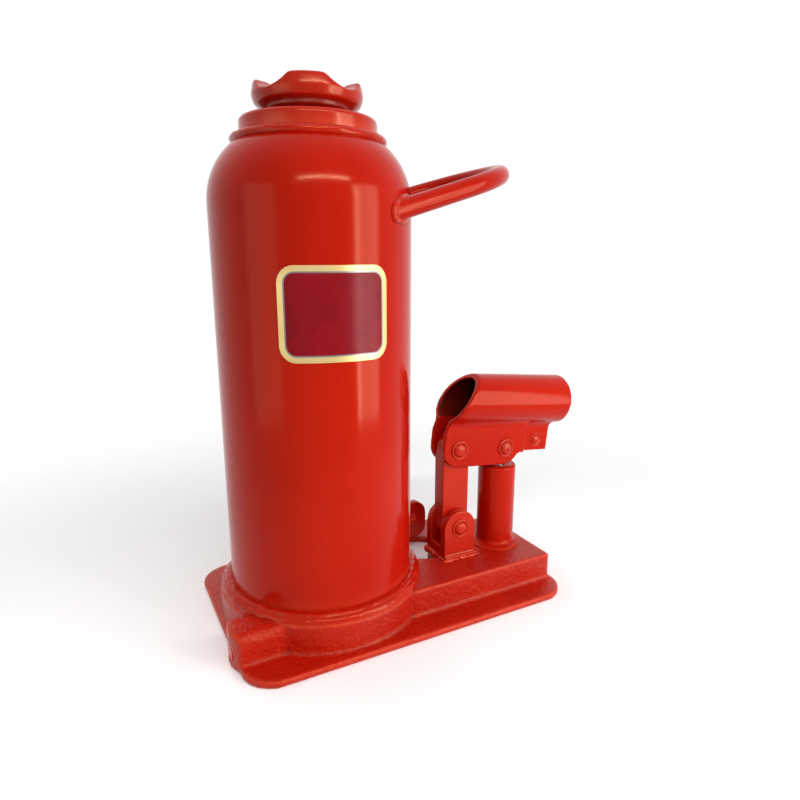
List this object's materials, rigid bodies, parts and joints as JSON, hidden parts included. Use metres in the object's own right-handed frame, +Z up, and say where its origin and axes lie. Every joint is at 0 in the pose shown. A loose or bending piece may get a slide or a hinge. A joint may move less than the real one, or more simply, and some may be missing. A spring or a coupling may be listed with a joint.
{
  "type": "bottle jack",
  "caption": "Hydraulic bottle jack with a welded oil tank on a cast base, a lever pump with a handle socket, a carry handle, and a ram with an extension screw under a lobed saddle.",
  "frame": {"origin": "on the floor under the ram axis, at the mount floor_face", "axes": "+Z up along the ram, +X from the ram towards the pump, +Y to the rear"},
  "size_m": [0.2483, 0.142, 0.3135],
  "materials": {
    "red_enamel": "glossy orange-red enamel",
    "bright_steel": "ground",
    "dark_steel": "blackened",
    "rubber": "moulded",
    "bronze": "machined",
    "copper": "annealed"
  },
  "bodies": {
    "jack_body": {"base": "red_enamel", "tank": "red_enamel", "carry_handle": "red_enamel", "pressure_cylinder": "bright_steel", "cylinder_base_seal": "copper", "gland_nut": "red_enamel", "gland_o_ring": "rubber", "ram_wiper": "rubber", "ram_guide_bush": "bronze", "filler_plug": "red_enamel", "filler_washer": "copper", "pump_cylinder": "red_enamel", "pump_gasket": "copper", "plunger_wiper": "rubber", "link_bracket": "red_enamel", "link_base_pin": "red_enamel", "release_ball": "bright_steel", "inlet_spring": "bright_steel", "inlet_plug": "dark_steel", "discharge_spring": "bright_steel", "discharge_seat": "dark_steel", "delivery_plug": "dark_steel", "relief_spring": "bright_steel", "relief_adjuster": "dark_steel", "relief_cap": "red_enamel", "suction_strainer": "bronze"},
    "ram_body": {"ram": "bright_steel", "piston_cup_seal": "rubber", "piston_backup_ring": "bronze", "piston_retainer": "dark_steel"},
    "stop_ring_body": {"screw_stop_ring": "dark_steel"},
    "screw_body": {"extension_screw": "bright_steel", "saddle": "red_enamel"},
    "plunger_body": {"pump_plunger": "bright_steel", "plunger_cup_seal": "rubber", "plunger_backup_ring": "bronze", "plunger_retainer": "dark_steel"},
    "socket_body": {"handle_socket": "red_enamel", "socket_rivet": "red_enamel", "link_socket_pin": "red_enamel", "plunger_pin": "red_enamel"},
    "link_body": {"link": "red_enamel"},
    "release_ring_body": {"release_o_ring": "rubber"},
    "release_body": {"release_screw": "red_enamel"},
    "inlet_ball_body": {"inlet_ball": "bright_steel"},
    "discharge_ball_body": {"discharge_ball": "bright_steel"},
    "relief_ball_body": {"relief_ball": "bright_steel", "relief_spring_guide": "dark_steel"}
  },
  "joints": [
    {"name": "ram_lift", "type": "slide", "parent": "jack_body", "child": "ram_body", "axis": [0, 0, 1], "range_m": [0, 0.185]},
    {"name": "screw_rise", "type": "slide", "parent": "ram_body", "child": "stop_ring_body", "axis": [0, 0, 1], "range_m": [0, 0.0801]},
    {"name": "screw_turn", "type": "hinge", "parent": "stop_ring_body", "child": "screw_body", "pos_m": [0, 0, 0.31346], "axis": [0, 0, 1], "range_deg": [0, 5760]},
    {"name": "plunger_slide", "type": "slide", "parent": "jack_body", "child": "plunger_body", "axis": [0, 0, 1], "range_m": [0, 0.0222]},
    {"name": "socket_swing", "type": "hinge", "parent": "plunger_body", "child": "socket_body", "pos_m": [0.126, -0.016, 0.09389], "axis": [0, -1, 0], "range_deg": [0, 35]},
    {"name": "link_swing", "type": "hinge", "parent": "socket_body", "child": "link_body", "pos_m": [0.08849, -0.016, 0.0977], "axis": [0, -1, 0], "range_deg": [-38.6, 0]},
    {"name": "release_back_out", "type": "slide", "parent": "jack_body", "child": "release_ring_body", "axis": [1, 0, 0], "range_m": [0, 0.00175]},
    {"name": "release_turn", "type": "hinge", "parent": "release_ring_body", "child": "release_body", "pos_m": [0.08, 0.045, 0.0205], "axis": [1, 0, 0], "range_deg": [0, 366]},
    {"name": "inlet_ball_lift", "type": "slide", "parent": "jack_body", "child": "inlet_ball_body", "axis": [1, 0, 0], "range_m": [0, 0.0012], "stiffness_N_per_m": 200, "springref_m": -0.001, "deforming": ["inlet_spring"]},
    {"name": "discharge_ball_lift", "type": "slide", "parent": "jack_body", "child": "discharge_ball_body", "axis": [-1, 0, 0], "range_m": [0, 0.0012], "stiffness_N_per_m": 200, "springref_m": -0.001, "deforming": ["discharge_spring"]},
    {"name": "relief_ball_lift", "type": "slide", "parent": "jack_body", "child": "relief_ball_body", "axis": [-1, 0, 0], "range_m": [0, 0.001], "stiffness_N_per_m": 2000, "springref_m": -0.001, "deforming": ["relief_spring"]}
  ],
  "couplings": [
    {"joint": "screw_rise", "follows": "screw_turn", "m_per_rad": 0.00079577},
    {"joint": "plunger_slide", "follows": "socket_swing", "m_per_rad": 0.03625},
    {"joint": "link_swing", "follows": "socket_swing", "ratio": -1.1025},
    {"joint": "release_turn", "follows": "release_back_out", "rad_per_m": 3590.4}
  ]
}
